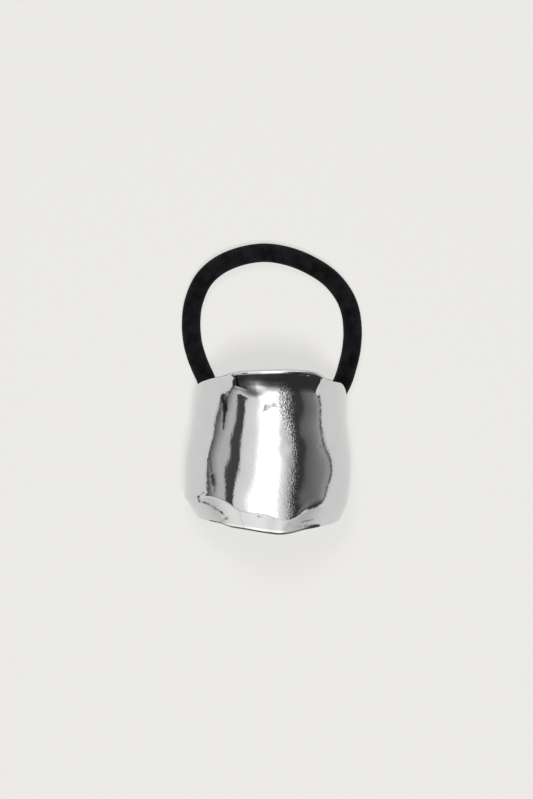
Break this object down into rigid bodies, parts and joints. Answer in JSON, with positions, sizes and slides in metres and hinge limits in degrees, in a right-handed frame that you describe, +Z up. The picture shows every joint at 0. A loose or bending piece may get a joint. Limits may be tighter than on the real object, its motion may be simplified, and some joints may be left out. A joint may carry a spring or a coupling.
{
  "type": "ponytail cuff",
  "caption": "Bright C-shaped metal shell with a flared lip and soft dents, and a closed black elastic loop held under its crown, for a ponytail.",
  "frame": {"origin": "centre of the metal shell's box, on the surface that it rests on", "axes": "+Z up through the crown, +Y along the ponytail towards the free end of the elastic loop, +X to the right as the picture shows it"},
  "size_m": [0.0413, 0.0665, 0.0261],
  "materials": {
    "metal": "mirror polished, with soft hammered dents",
    "elastic": "matt knitted cover"
  },
  "bodies": {
    "root": {"cuff": "metal", "elastic_band": "elastic"}
  },
  "joints": []
}
